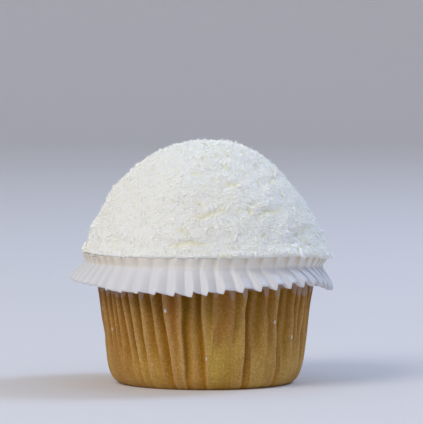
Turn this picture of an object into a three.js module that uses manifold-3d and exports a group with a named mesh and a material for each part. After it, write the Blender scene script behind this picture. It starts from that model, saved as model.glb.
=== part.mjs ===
// A domed cupcake in a pleated paper case, in millimetres, +Z up, standing on z = 0 with its front to -Y.
// The sponge fills the case up to its shoulder. The icing stands on the sponge as a tall dome rolled in
// fine coconut. Above the sponge the paper is crushed: it bulges out as a frill, comes back in to a
// waist and flares up again to a rim under the lip of the icing.

import * as THREE from "three";
import { mergeVertices } from "three/addons/utils/BufferGeometryUtils.js";
import Module from "manifold-3d";

const { degToRad, lerp, clamp } = THREE.MathUtils;

// Paper case: radii are to the ridge folds, and depths are from ridge to valley.
const PLEATS = 50;
const PAPER_THICKNESS = 0.4;
const BASE_RADIUS = 23.6;
const HEEL_RADIUS = 27.4;
const HEEL_HEIGHT = 6.5;
const HEEL_CORNER_RADIUS = 26.5;
const HEEL_CORNER_HEIGHT = 0.9;
const SHOULDER_RADIUS = 30.5;
const SHOULDER_HEIGHT = 26.4;
const SHOULDER_DEPTH = 1.3;
const NECK_RADIUS = 31.4;
const NECK_HEIGHT = 28.6;
const NECK_DEPTH = 1.2;
const FRILL_RADIUS = 37.2;
const FRILL_HEIGHT = 28.9;
const FRILL_DEPTH = 1.5;
const FRILL_SAG = 1.6;
const FRILL_ROLL = 2.0;
const FRILL_LEAN = 1.6;
const WAIST_RADIUS = 33.9;
const WAIST_HEIGHT = 33.7;
const WAIST_DEPTH = 0.9;
const RIM_RADIUS = 35.0;
const RIM_HEIGHT = 36.6;
const RIM_DEPTH = 0.9;
const HEEL_ROWS = 3;
const WALL_ROWS = 3;

// The crushing is uneven: the frill stands higher at the back left, spreads to the left, and its
// pleats lean over on the right.
const HIGH_SIDE = degToRad(140);
const FRILL_TILT = 1.5;
const WAIST_TILT = 0.7;
const WIDE_SIDE = degToRad(180);
const FRILL_SPREAD = 1.2;
const PLEAT_WANDER = 0.16;
const PLEAT_UNEVENNESS = 0.22;

// Sponge
const CLEARANCE = 0.3;
const SPONGE_SIDE_CLEARANCE = 0.6;
const SPONGE_TOP = 26.0;

// Icing
const CROWN_RADIUS = 31.2;
const CROWN_CENTRE_HEIGHT = 37.5;
const CROWN_ANGLE = degToRad(62);
const LIP_RADIUS = 35.5;
const LIP_HEIGHT = 38.2;
const LIP_UNDERSIDE = 37.0;
const LIP_INSET = 0.9;
const PLUG_TOP_RADIUS = 31.8;
const PLUG_BOTTOM_RADIUS = 28.4;
const DOME_COLUMNS = 64;
const CROWN_ROWS = 8;
const FLANK_ROWS = 4;

// Creases in the coat: turn to the right from the front in degrees, height, length.
const CREASES = [
  { turn: 3, height: 47.6, length: 9 },
  { turn: 35, height: 47.7, length: 11 },
  { turn: -7, height: 40.5, length: 11 },
  { turn: 118, height: 45, length: 10 },
  { turn: 205, height: 50, length: 9 },
  { turn: 270, height: 43, length: 10 },
];
const CREASE_WIDTH = 1.5;
const CREASE_DEPTH = 0.8;

// Coconut shreds
const SHRED_SPACING = 7.0;
const SHRED_LENGTH = [1.7, 3.0];
const SHRED_WIDTH = [0.6, 1.0];
const SHRED_THICKNESS = 0.6;
const SHRED_TAPER = 0.55;
const SHRED_TILT = 0.3;
const SHRED_RISE = 0.12;
const SHRED_SCATTER = 0.4;

// Soft waves over a round surface: turns around it, radians per millimetre up it, phase and height.
const WALL_WAVES = [
  { turns: 17, rise: 0, phase: 0.8, height: 0.2 },
  { turns: 7, rise: 0, phase: 2.1, height: 0.15 },
];
const DOME_WAVES = [
  { turns: 3, rise: 0.09, phase: 0, height: 0.16 },
  { turns: 5, rise: -0.12, phase: 1.3, height: 0.12 },
  { turns: 8, rise: 0.31, phase: 0.6, height: 0.1 },
];

const wasm = await Module();
wasm.setup();

// Draws from 0 to 1 that come out the same on each run.
function seededDraws(seed) {
  let state = seed;
  return () => {
    state = (state * 1664525 + 1013904223) % 4294967296;
    return state / 4294967296;
  };
}

function waviness(waves, angle, level) {
  return waves.reduce(
    (sum, { turns, rise, phase, height }) => sum + height * Math.sin(turns * angle + rise * level + phase),
    0,
  );
}

// A place on an upright section: radius, height, and how far it leans sideways round the axis.
function place(radius, height, lean = 0) {
  return new THREE.Vector3(radius, height, lean);
}

// The folds of the case in order around it, ridge and valley by turns, at uneven steps.
// A wave of 1 is a full ridge and a wave of 0 a full valley.
function pleatFolds() {
  const draw = seededDraws(7);
  const step = Math.PI / PLEATS;
  return Array.from({ length: 2 * PLEATS }, (_, index) => {
    const angle = (index + 2 * PLEAT_WANDER * (draw() - 0.5)) * step;
    const unevenness = PLEAT_UNEVENNESS * draw();
    return { angle, wave: index % 2 === 0 ? 1 - unevenness : unevenness };
  });
}

// The middle of the paper along one fold, from the centre of the base to the rim.
function paperProfile({ angle, wave }) {
  const half = PAPER_THICKNESS / 2;
  const ridge = (radius, depth) => radius - half - depth * (1 - wave);
  const bulge = waviness(WALL_WAVES, angle, 0);
  const tilt = Math.cos(angle - HIGH_SIDE);
  const frillRadius = ridge(FRILL_RADIUS + FRILL_SPREAD * Math.cos(angle - WIDE_SIDE), FRILL_DEPTH);
  const frillHeight = FRILL_HEIGHT + FRILL_TILT * tilt;
  const frillBottom = frillHeight - FRILL_SAG * wave + half;
  const frillLean = FRILL_LEAN * wave * (0.5 + 0.5 * Math.cos(angle));
  const heel = new THREE.QuadraticBezierCurve(
    new THREE.Vector2(BASE_RADIUS, half),
    new THREE.Vector2(HEEL_CORNER_RADIUS, HEEL_CORNER_HEIGHT),
    new THREE.Vector2(HEEL_RADIUS - half + bulge, HEEL_HEIGHT),
  );
  const wall = Array.from({ length: WALL_ROWS }, (_, row) => {
    const share = (row + 1) / WALL_ROWS;
    const radius = ridge(lerp(HEEL_RADIUS, SHOULDER_RADIUS, share), share * SHOULDER_DEPTH);
    return place(radius + (1 - share) * bulge, lerp(HEEL_HEIGHT, SHOULDER_HEIGHT, share));
  });
  return [
    place(0, half),
    ...heel.getPoints(HEEL_ROWS).map(({ x, y }) => place(x, y)),
    ...wall,
    place(ridge(NECK_RADIUS, NECK_DEPTH), NECK_HEIGHT + WAIST_TILT * tilt),
    place(frillRadius - FRILL_ROLL, frillBottom, frillLean),
    place(frillRadius, frillBottom + 0.4 * FRILL_ROLL, frillLean),
    place(frillRadius - 0.3 * FRILL_ROLL, frillHeight + 0.7 * FRILL_ROLL, 0.7 * frillLean),
    place(ridge(WAIST_RADIUS, WAIST_DEPTH), WAIST_HEIGHT + WAIST_TILT * tilt),
    place(ridge(RIM_RADIUS, RIM_DEPTH), RIM_HEIGHT),
  ];
}

// The profile moved square to its own run: a positive distance moves it out and down.
function offsetProfile(profile, distance) {
  return profile.map((middle, index) => {
    const before = profile[Math.max(index - 1, 0)];
    const after = profile[Math.min(index + 1, profile.length - 1)];
    const run = new THREE.Vector2(after.x - before.x, after.y - before.y).normalize();
    const radius = index === 0 ? 0 : middle.x + distance * run.y;
    return place(radius, middle.y - distance * run.x, middle.z);
  });
}

// A geometry with only its places left and its shared vertices merged.
function bare(geometry) {
  geometry.deleteAttribute("normal");
  geometry.deleteAttribute("uv");
  return mergeVertices(geometry, 1e-4);
}

// A closed body of revolution whose section changes from column to column.
// Each section runs from the axis below, round the outside, to the axis above.
function revolve(angles, sections) {
  const lathe = new THREE.LatheGeometry(sections[0], angles.length);
  const rows = sections[0].length;
  const position = lathe.getAttribute("position");
  for (let vertex = 0; vertex < position.count; vertex += 1) {
    const column = Math.floor(vertex / rows) % angles.length;
    const { x: radius, y: height, z: lean } = sections[column][vertex % rows];
    const angle = angles[column] + (radius > 0 ? lean / radius : 0);
    position.setXYZ(vertex, radius * Math.cos(angle), radius * Math.sin(angle), height);
  }
  return bare(lathe);
}

function solidOf(geometry) {
  const vertProperties = new Float32Array(geometry.getAttribute("position").array);
  const triVerts = new Uint32Array(geometry.index.array);
  return new wasm.Manifold(new wasm.Mesh({ numProp: 3, vertProperties, triVerts }));
}

function geometryOf(solid) {
  const { vertProperties, triVerts } = solid.getMesh();
  const geometry = new THREE.BufferGeometry();
  geometry.setAttribute("position", new THREE.BufferAttribute(vertProperties, 3));
  geometry.setIndex(new THREE.BufferAttribute(triVerts, 1));
  return geometry;
}

function paperCase(folds) {
  const half = PAPER_THICKNESS / 2;
  const sections = folds.map((fold) => {
    const middle = paperProfile(fold);
    return [...offsetProfile(middle, half), ...offsetProfile(middle, -half).reverse()];
  });
  return revolve(folds.map((fold) => fold.angle), sections);
}

// The sponge follows the inside of the case, with a small clearance, up to its flat top.
function sponge(folds) {
  const sections = folds.map((fold) => {
    const inside = offsetProfile(paperProfile(fold), -PAPER_THICKNESS / 2 - SPONGE_SIDE_CLEARANCE);
    const side = inside.slice(0, inside.findIndex(({ y }) => y > SPONGE_TOP));
    const edge = inside[side.length];
    return [...side, place(edge.x, SPONGE_TOP), place(0, SPONGE_TOP)];
  });
  return revolve(folds.map((fold) => fold.angle), sections);
}

// The dome's outline from the lip up to the apex: a straight flank under a round crown.
function domeOutline() {
  const crownEdge = new THREE.Vector2(
    CROWN_RADIUS * Math.sin(CROWN_ANGLE),
    CROWN_CENTRE_HEIGHT + CROWN_RADIUS * Math.cos(CROWN_ANGLE),
  );
  const crownStart = Math.PI / 2 - CROWN_ANGLE;
  const outline = new THREE.CurvePath();
  outline.add(new THREE.LineCurve(new THREE.Vector2(LIP_RADIUS, LIP_HEIGHT), crownEdge));
  outline.add(new THREE.EllipseCurve(
    0, CROWN_CENTRE_HEIGHT, CROWN_RADIUS, CROWN_RADIUS, crownStart, Math.PI / 2,
  ));
  return outline;
}

// The dome stands on a plug inside the case, and its lip reaches out over the rim of the paper.
function domeSection(angle) {
  const [flank, crown] = domeOutline().curves;
  const skin = [...flank.getPoints(FLANK_ROWS), ...crown.getPoints(CROWN_ROWS).slice(1, -1)];
  return [
    place(0, SPONGE_TOP + CLEARANCE),
    place(PLUG_BOTTOM_RADIUS, SPONGE_TOP + CLEARANCE),
    place(PLUG_TOP_RADIUS, LIP_UNDERSIDE),
    place(LIP_RADIUS - LIP_INSET, LIP_UNDERSIDE),
    ...skin.map(({ x, y }) => place(x + waviness(DOME_WAVES, angle, y), y)),
    place(0, CROWN_CENTRE_HEIGHT + CROWN_RADIUS),
  ];
}

// Where the dome's skin lies at a share of its outline, and the frame there: X runs level round the
// dome, Y up its outline and Z out of it.
function skinFrame(outline, share, angle) {
  const { x, y: height } = outline.getPointAt(share);
  const run = outline.getTangentAt(share);
  const radius = x + waviness(DOME_WAVES, angle, height);
  const level = new THREE.Vector3(-Math.sin(angle), Math.cos(angle), 0);
  const up = new THREE.Vector3(run.x * Math.cos(angle), run.x * Math.sin(angle), run.y);
  const out = level.clone().cross(up);
  return new THREE.Matrix4()
    .makeBasis(level, up, out)
    .setPosition(radius * Math.cos(angle), radius * Math.sin(angle), height);
}

function shareAtHeight(outline, height) {
  const steps = 200;
  const places = outline.getSpacedPoints(steps);
  return places.findIndex(({ y }) => y >= height) / steps;
}

function cutCreases(dome) {
  const outline = domeOutline();
  return CREASES.reduce((creased, { turn, height, length }) => {
    const angle = degToRad(turn - 90);
    const groove = new THREE.SphereGeometry(1, 10, 6);
    groove.scale(length / 2, CREASE_WIDTH / 2, CREASE_DEPTH);
    groove.applyMatrix4(skinFrame(outline, shareAtHeight(outline, height), angle));
    return creased.subtract(solidOf(bare(groove)));
  }, dome);
}

// A coconut shred: a strip that narrows to one end, lying along X with its middle at the origin.
function shred(length, width) {
  const strip = new THREE.BoxGeometry(length, width, SHRED_THICKNESS);
  const position = strip.getAttribute("position");
  for (let corner = 0; corner < position.count; corner += 1) {
    const share = position.getX(corner) > 0 ? SHRED_TAPER : 1;
    position.setY(corner, share * position.getY(corner));
  }
  return strip;
}

// Shreds lie all over the dome, in rings that are evenly spaced along its outline.
function addShreds(dome) {
  const draw = seededDraws(23);
  const around = (spread) => spread * (draw() - 0.5);
  const between = ([low, high]) => lerp(low, high, draw());
  const outline = domeOutline();
  const rings = Math.round(outline.getLength() / SHRED_SPACING);
  let coated = dome;
  for (let ring = 0; ring < rings; ring += 1) {
    const middle = (ring + 0.5) / rings;
    const girth = 2 * Math.PI * outline.getPointAt(middle).x;
    const count = Math.max(1, Math.round(girth / SHRED_SPACING));
    for (let index = 0; index < count; index += 1) {
      const share = clamp(middle + around(SHRED_SCATTER) / rings, 0, 1);
      const angle = ring + ((index + around(SHRED_SCATTER)) / count) * 2 * Math.PI;
      const lie = new THREE.Euler(around(SHRED_TILT), around(SHRED_TILT), around(2 * Math.PI), "ZXY");
      const strip = shred(between(SHRED_LENGTH), between(SHRED_WIDTH));
      strip.applyQuaternion(new THREE.Quaternion().setFromEuler(lie));
      strip.translate(0, 0, SHRED_RISE);
      strip.applyMatrix4(skinFrame(outline, share, angle));
      coated = coated.add(solidOf(bare(strip)));
    }
  }
  return coated;
}

function icing() {
  const angles = Array.from({ length: DOME_COLUMNS }, (_, column) => (2 * Math.PI * column) / DOME_COLUMNS);
  const dome = solidOf(revolve(angles, angles.map(domeSection)));
  return geometryOf(addShreds(cutCreases(dome)));
}

function part(name, geometry, color, roughness) {
  geometry.computeVertexNormals();
  const material = new THREE.MeshStandardMaterial({ color, roughness, metalness: 0 });
  const mesh = new THREE.Mesh(geometry, material);
  mesh.name = name;
  return mesh;
}

const folds = pleatFolds();
const cupcake = new THREE.Group();
cupcake.add(part("paper_case", paperCase(folds), 0xc9b590, 0.75));
cupcake.add(part("cake", sponge(folds), 0xc08a3c, 0.9));
cupcake.add(part("icing", icing(), 0xf1f0ec, 0.8));

export default cupcake;
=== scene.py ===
"""Cupcake: a sponge in a pleated paper case under a dome of icing rolled in coconut, in metres."""

import math

import bmesh
import bpy
import numpy as np
from bpy.props import FloatProperty, FloatVectorProperty, IntProperty, PointerProperty
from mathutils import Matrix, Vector, noise


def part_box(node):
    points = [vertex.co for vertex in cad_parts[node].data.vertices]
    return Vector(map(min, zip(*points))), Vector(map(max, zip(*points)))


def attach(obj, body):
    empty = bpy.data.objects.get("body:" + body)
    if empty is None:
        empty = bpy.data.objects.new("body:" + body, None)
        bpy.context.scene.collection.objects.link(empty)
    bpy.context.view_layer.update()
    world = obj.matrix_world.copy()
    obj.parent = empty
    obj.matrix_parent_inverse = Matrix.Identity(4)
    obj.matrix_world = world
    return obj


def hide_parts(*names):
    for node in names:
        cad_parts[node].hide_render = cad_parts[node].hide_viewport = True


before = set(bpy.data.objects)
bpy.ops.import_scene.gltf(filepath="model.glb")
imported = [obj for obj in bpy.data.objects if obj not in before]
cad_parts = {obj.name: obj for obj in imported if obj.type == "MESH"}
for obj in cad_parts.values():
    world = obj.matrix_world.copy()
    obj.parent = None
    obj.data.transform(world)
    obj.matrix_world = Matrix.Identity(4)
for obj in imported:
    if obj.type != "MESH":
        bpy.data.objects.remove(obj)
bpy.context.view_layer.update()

bl_info = {
    "name": "Coconut Cupcake",
    "version": (1, 0, 0),
    "blender": (4, 5, 0),
    "location": "View3D > Sidebar > Cupcake",
    "description": "Dresses the cupcake's solids with folded paper, icing and coconut",
    "category": "Add Mesh",
}

MM = 0.001
SPONGE_LOW, SPONGE_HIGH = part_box("cake")
ICING_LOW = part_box("icing")[0]

BODY = "root"
IMAGE_SIZE = (423, 424)
FRONT = -math.pi / 2


def size_property(name, description, default):
    """A length that a user may change, in metres."""
    return FloatProperty(name=name, description=description, default=default, unit="LENGTH", precision=5)


def share_property(name, description, default):
    """A plain share or factor."""
    return FloatProperty(name=name, description=description, default=default)


def color_property(name, description, default):
    """A linear colour."""
    return FloatVectorProperty(
        name=name, description=description, default=default, subtype="COLOR", size=3, min=0.0, max=1.0
    )


class PaperSettings(bpy.types.PropertyGroup):
    """Sizes and colours of the paper case. Radii are to the ridges, depths from ridge to valley."""

    pleats: IntProperty(name="Pleats", description="Pleats round the case", default=51, min=30)
    seed: IntProperty(name="Seed", description="Seed of the pleats' unevenness", default=5)
    thickness: size_property("Thickness", "Thickness of the paper", 0.1 * MM)
    base_radius: size_property("Base radius", "Flat part of the base", 24.2 * MM)
    heel_radius: size_property("Heel radius", "Where the heel meets the wall", 27.95 * MM)
    heel_height: size_property("Heel height", "Height where the heel meets the wall", 6.5 * MM)
    shoulder_radius: size_property("Shoulder radius", "Top of the wall", 30.6 * MM)
    shoulder_height: size_property("Shoulder height", "Height of the top of the wall", 26.4 * MM)
    pleat_depth: size_property("Pleat depth", "Depth of the deepest pleats of the wall", 1.5 * MM)
    neck_radius: size_property("Neck radius", "Where the frill leaves the wall", 31.2 * MM)
    neck_height: size_property("Neck height", "Height where the frill leaves the wall", 29.2 * MM)
    frill_radius: size_property("Frill radius", "Outer edge of the frill", 37.6 * MM)
    frill_depth: size_property("Frill depth", "Depth of the pleats at the frill's edge", 1.7 * MM)
    frill_sag: size_property("Frill sag", "How far the tips hang below the notches", 1.45 * MM)
    frill_roll: size_property("Frill roll", "Size of the turn at the frill's edge", 0.6 * MM)
    frill_spread: size_property("Frill spread", "How much wider the frill is at the left", 1.2 * MM)
    waist_radius: size_property("Waist radius", "Narrowest part above the frill", 33.9 * MM)
    waist_spread: size_property("Waist spread", "How much wider the waist is at the left", 0.4 * MM)
    waist_depth: size_property("Waist depth", "Depth of the pleats at the waist and the rim", 0.65 * MM)
    rim_radius: size_property("Rim radius", "Cut edge under the icing", 35.0 * MM)
    clean_color: color_property("Clean paper", "White paper that no fat has reached", (0.715, 0.712, 0.735))
    # Painted shade: a grey laid into the creases of the frill at the left.
    frill_crease_shade_color: color_property("Doubled paper", "White paper over a fold of itself", (0.50, 0.505, 0.53))
    # Also laid on the frill's underside, where it is painted shade.
    hood_and_underside_shade_color: color_property("Hoods", "Dry paper at the top of the wall", (0.44, 0.32, 0.25))
    # Painted light: the band is the same white paper as the frill, made brighter and warmer to stand for
    # bounced light.
    band_bounce_light_color: color_property("Band", "Paper between the waist and the icing", (0.85, 0.815, 0.745))
    # Brown in the band's hollows near the rim, and over the whole band at the left as painted shade.
    band_stain_and_shade_color: color_property("Browned band", "Hollows of the band over the cake", (0.52, 0.35, 0.15))
    # Dark specks at the top of the band at the far left, just under the icing's edge.
    dark_speck_color: color_property("Crumbs", "Dark crumbs under the icing's edge", (0.13, 0.07, 0.045))
    crust_color: color_property("Crust", "Paper over the darker crust high up", (0.42, 0.18, 0.022))
    golden_color: color_property("Golden paper", "Paper over the cake low down", (0.98, 0.63, 0.245))
    yellow_color: color_property("Yellow paper", "Patches of paler crumb", (0.71, 0.465, 0.10))
    rose_color: color_property("Reddish paper", "Patches of redder crust", (0.45, 0.19, 0.045))
    # Valley colours: paper pressed on the cake, also laid on as painted shade that deepens the valleys.
    olive_color: color_property("Olive valleys", "Paper pressed into greener valleys", (0.27, 0.135, 0.008))
    brown_color: color_property("Brown valleys", "Paper pressed into redder valleys", (0.33, 0.115, 0.008))
    amber_color: color_property("Amber valleys", "Paper pressed close lower down", (0.48, 0.215, 0.015))
    # Paler paper on ridges that stand off the cake, with a painted highlight; also faint blotches on clean
    # paper.
    tan_and_highlight_color: color_property("Tan ridges", "Ridges that stand off the cake", (0.73, 0.435, 0.17))


class SpongeSettings(bpy.types.PropertyGroup):
    """Fit and colours of the sponge."""

    gap: size_property("Gap", "Room between the sponge and the paper", 0.2 * MM)
    dark_color: color_property("Darker crumb", "Well baked crumb", (0.42, 0.22, 0.05))
    light_color: color_property("Lighter crumb", "Golden crumb", (0.62, 0.38, 0.11))
    pore_color: color_property("Pores", "Shaded pores of the crumb", (0.25, 0.11, 0.02))


class IcingSettings(bpy.types.PropertyGroup):
    """Sizes and colours of the icing dome."""

    plug_radius: size_property("Plug radius", "Icing inside the rim of the case", 31.8 * MM)
    lump: size_property("Lumps", "Height of the soft lumps", 0.42 * MM)
    pit_depth: size_property("Pit depth", "Depth of the small pits in the coat", 0.3 * MM)
    crease_depth: size_property("Crease depth", "Depth of the creases in the coat", 0.4 * MM)
    white_color: color_property("Icing", "Icing between the coconut", (0.94, 0.93, 0.90))
    # Also laid in the creases and pits as painted shade.
    cream_and_crease_shade_color: color_property("Deep icing", "Icing in the creases", (0.92, 0.88, 0.64))


class CoconutSettings(bpy.types.PropertyGroup):
    """Counts, sizes and colours of the coconut coat."""

    shreds: IntProperty(name="Shreds", description="Broader strips of coconut", default=6000)
    threads: IntProperty(name="Threads", description="Fine threads of coconut", default=24500)
    grains: IntProperty(name="Grains", description="Fine crumbs of coconut", default=24500)
    chips: IntProperty(name="Chips", description="Broad flat flakes of coconut", default=200)
    seed: IntProperty(name="Seed", description="Seed of the scatter", default=11)
    loose: share_property("Loose share", "Share of the pieces that stick out", 0.06)
    white_color: color_property("White coconut", "Dry white flesh", (0.955, 0.946, 0.926))
    # Also laid on pieces in the creases and pits as painted shade.
    cream_and_crease_shade_color: color_property("Creamy coconut", "Oily, slightly yellow flesh", (0.91, 0.88, 0.66))


class StageSettings(bpy.types.PropertyGroup):
    """Camera, floor and sky."""

    camera_distance: size_property("Camera distance", "From the camera to the cupcake's axis", 1.0)
    camera_height: size_property("Camera height", "Camera above the floor", 96 * MM)
    aim_height: size_property("Aim height", "Height that the camera looks at", 48.4 * MM)
    aim_side: size_property("Aim to the side", "How far right of the axis the camera looks", 1.8 * MM)
    focal_pixels: share_property("Focal length in pixels", "Focal length in the image's own pixels", 3523.0)
    floor_color: color_property("Floor", "Plain pale floor", (0.74, 0.71, 0.72))
    sky_color: color_property("Sky", "Pale light from all round", (0.86, 0.91, 1.0))
    sky_strength: share_property("Sky strength", "Strength of the light from all round", 0.5)


# Shapes shared by the pieces

MERGE_DISTANCE = 1e-5


def spun_surface(outline, columns):
    """An open surface spun round Z from one row of vertices, given as radii and heights."""
    bm = bmesh.new()
    row = [bm.verts.new((radius, 0.0, height)) for radius, height in outline]
    edges = [bm.edges.new(pair) for pair in zip(row, row[1:])]
    bmesh.ops.spin(
        bm, geom=row + edges, cent=(0, 0, 0), axis=(0, 0, 1), angle=2 * math.pi, steps=columns, use_merge=True
    )
    bmesh.ops.remove_doubles(bm, verts=bm.verts, dist=MERGE_DISTANCE)
    bmesh.ops.recalc_face_normals(bm, faces=bm.faces)
    return bm


def closed_ball(rows, columns):
    """A round ball, with each vertex's row from the top pole to the bottom one and its angle round Z."""
    bm = bmesh.new()
    bmesh.ops.create_uvsphere(bm, u_segments=columns, v_segments=rows, radius=1.0)
    x, y, z = vertex_places(bm).T
    row = np.rint(np.arccos(np.clip(z, -1, 1)) / math.pi * rows).astype(int)
    return bm, row, np.arctan2(y, x)


def vertex_places(bm):
    return np.array([vertex.co for vertex in bm.verts])


def move_vertices(bm, places):
    for vertex, place in zip(bm.verts, places.tolist()):
        vertex.co = place


def finished_object(bm, name):
    """The bmesh as a smooth-shaded object with its faces pointing out."""
    bmesh.ops.recalc_face_normals(bm, faces=bm.faces)
    mesh = bpy.data.meshes.new(name)
    bm.to_mesh(mesh)
    bm.free()
    mesh.shade_smooth()
    piece = bpy.data.objects.new(name, mesh)
    bpy.context.scene.collection.objects.link(piece)
    return piece


def store(piece, name, values):
    """A value for each vertex, which the materials read by name."""
    attribute = piece.data.attributes.new(name, "FLOAT", "POINT")
    attribute.data.foreach_set("value", np.asarray(values, np.float32))


def smooth_step(low, high, value):
    share = np.clip((value - low) / (high - low), 0.0, 1.0)
    return share * share * (3 - 2 * share)


def mix(low, high, share):
    return low + (high - low) * share


def spline_along(stations, along):
    """A smooth curve through each vertex's own stations, at its place along them."""
    last = stations.shape[1] - 1
    step = np.clip(np.floor(along).astype(int), 0, last - 1)
    t = (along - step)[:, None]
    rows = np.arange(len(along))
    p0, p1, p2, p3 = (stations[rows, np.clip(step + shift, 0, last)] for shift in (-1, 0, 1, 2))
    return 0.5 * (
        2 * p1 + (p2 - p0) * t + (2 * p0 - 5 * p1 + 4 * p2 - p3) * t**2 + (3 * p1 - p0 - 3 * p2 + p3) * t**3
    )


def degrees_right(angle):
    """An angle round Z as degrees to the right of the front, from -180 to 180."""
    return (np.degrees(angle - FRONT) + 180) % 360 - 180


def round_table(table, angle):
    """A value from a table of degrees to the right of the front and values."""
    turns, values = np.array(table).T
    return np.interp(degrees_right(angle), turns, values, period=360)


# Paper case

# The pleats seen from the front: where each ridge is at the waist, at the top of the wall and at its bottom,
# in degrees to the right of the front, its steep side (left -1, right 1) and how far it stands out, and for
# the valley to its right how deep it is, how far down it fades, how red it is and how yellow low down.
# All but the degrees and the steep side are shares.
FRONT_PLEATS = (
    (-73, -72, -71, -1, 1.0, 0.7, 0.3, 0.6, 0.0),
    (-68, -65.5, -64, -1, 1.0, 0.8, 0.25, 0.6, 0.0),
    (-62.5, -60, -58.5, -1, 0.9, 0.8, 0.2, 0.6, 0.1),
    (-57, -56, -53.5, -1, 0.9, 0.9, 0.05, 0.8, 0.1),
    (-51.5, -50.4, -45.5, -1, 1.0, 1.0, 0.0, 0.6, 0.2),
    (-46, -44.7, -40.2, -1, 1.0, 1.0, 0.0, 0.5, 0.5),
    (-38, -37.4, -34.2, -1, 1.0, 0.9, 0.1, 0.6, 0.5),
    (-30, -30.3, -25.7, -1, 0.9, 1.0, -0.3, 0.5, 0.3),
    (-22.3, -23, -19.2, -1, 1.0, 0.55, 0.2, 0.9, 0.2),
    (-14.1, -12.8, -12.4, 1, 1.0, 1.0, -0.3, 0.1, 0.0),
    (-6.5, -6.6, -6.5, 0, 0.45, 1.0, -0.3, 0.2, 0.0),
    (-0.4, -1.8, 0.8, -1, 1.0, 0.6, 0.5, 0.2, 1.0),
    (6.4, 4.4, 4.5, -1, 0.7, 0.65, 0.4, 1.0, 1.0),
    (13.9, 15.5, 15.3, 1, 0.9, 0.5, 0.3, 0.3, 0.7),
    (21, 22.5, 22, 1, 1.0, 1.0, -0.3, 0.2, 0.0),
    (28.3, 26.5, 27, 0, 0.4, 0.95, 0.2, 0.2, 0.5),
    (35.5, 35.7, 37, 1, 0.9, 0.5, 0.25, 0.7, 0.2),
    (43, 42.5, 44, 1, 1.0, 1.0, -0.2, 0.2, 0.0),
    (50.6, 48.5, 49.5, 0, 0.35, 1.0, 0.0, 0.3, 0.3),
    (57.5, 56.5, 58, 1, 1.0, 0.7, 0.1, 0.4, 0.2),
    (64, 62, 64, 1, 0.8, 0.7, 0.2, 0.5, 0.2),
    (70, 67, 70, 1, 1.0, 1.0, -0.2, 0.5, 0.0),
    (75.5, 73, 76, 1, 0.9, 0.7, 0.3, 0.5, 0.2),
)
# For the pleats of the back, how far their ridges stray in degrees, and the limits of the five shares above.
BACK_STRAY = 0.8
BACK_SHARES = ((0.6, 1.0), (0.5, 1.0), (-0.3, 0.4), (0.1, 1.0), (0.0, 0.7))
# Degrees to the right of the front, and how high the tips of the frill hang there.
EDGE_HEIGHTS = (
    (-90, 29.9 * MM), (-68, 29.3 * MM), (-54, 28.8 * MM), (-43, 27.6 * MM), (-28, 27.5 * MM), (-8, 26.8 * MM),
    (8, 27.7 * MM), (24, 28.1 * MM), (48, 28.7 * MM), (58, 28.2 * MM), (72, 26.6 * MM), (90, 26.6 * MM),
    (150, 28.6 * MM), (220, 29.6 * MM),
)
# Degrees to the right of the front, and the height of the waist there.
WAIST_HEIGHTS = (
    (-90, 34.5 * MM), (-45, 34.3 * MM), (0, 34.0 * MM), (45, 34.1 * MM), (65, 33.6 * MM), (90, 32.9 * MM),
    (180, 33.7 * MM),
)
# Degrees to the right of the front, and the height of the underside of the dome's lip there.
LIP_EDGES = (
    (-90, 37.3 * MM), (-62, 37.0 * MM), (-45, 36.9 * MM), (0, 37.25 * MM), (45, 37.25 * MM), (61, 36.5 * MM),
    (72, 35.7 * MM), (90, 35.1 * MM), (120, 35.4 * MM), (170, 36.6 * MM),
)
# Degrees to the right of the front, and how far to the right the frill's pleats slant there.
FRILL_SLANTS = (
    (-150, 0.0), (-40, 0.2 * MM), (-17, 0.5 * MM), (6, 0.9 * MM), (14, 1.6 * MM), (21, 2.4 * MM),
    (35, 3.2 * MM), (56, 4.2 * MM), (72, 3.4 * MM), (110, 1.8 * MM), (160, 0.4 * MM),
)
# Degrees to the right of the front, and how deep the notches of the frill are there as shares of the deepest.
NOTCHES = ((-100, 0.05), (-60, 0.15), (-40, 0.45), (-20, 0.65), (-5, 1.0), (60, 1.0), (110, 0.6), (170, 0.2))
# Degrees to the right of the front, and how deep the frill's pleats are there as shares of the deepest.
FRILL_DEPTHS = ((-100, 0.9), (-20, 1.0), (10, 1.0), (45, 0.85), (90, 0.8), (170, 0.8))
# Degrees to the right of the front, and how far the frill's pleats lie over to the right there.
LEANS = ((-100, 0.0), (-10, 0.0), (40, 1.0), (90, 1.0), (170, 0.3))

# Where the crease of a frill pleat lies between its tip and the next one, on an upright pleat, on one that
# leans over and on a leaning one at the waist, and where the next tip starts, as shares of the pleat's width.
UPRIGHT_CREASE, LEANING_CREASE, WAIST_CREASE, NEXT_TIP = 0.6, 0.76, 0.92, 0.96
# Powers that round the paper from a tip to its crease, and along its hem, on upright and on leaning pleats.
CREASE_POWERS, HEM_POWERS = (1.8, 1.2), (2, 1.6)
# Limits of the heights of the frill's tips and creases, as shares, and by how much its sag varies.
TIP_SHARES, CREASE_SHARES, SAG_VARIES = (0.88, 1.0), (0.0, 0.15), 0.2
# Shares of a pleat's width over which painted shade comes in towards a crease of the frill, and over which a
# notch opens.
CREASE_SHADE_SPAN, NOTCH_OPENING = (0.1, 0.6), (0.0, 0.09)
# Shares of a pleat's width over which a ridge of the wall falls away on its steep side and on its easy side,
# and over which the pale light on the ridge fades.
STEEP_SIDE, EASY_SIDE, RIDGE_LIGHT = 0.2, 0.85, 0.46
# Shares of the wall's height over which a valley fades out, below and above where it is said to fade.
FADE_BELOW, FADE_ABOVE = 0.25, 0.3
# Each wave of a fold's wander up the wall: its share, its turn over the whole height and its own start.
SWAY_WAVES = ((0.7, 6, 1), (0.3, 14, 2))
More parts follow.
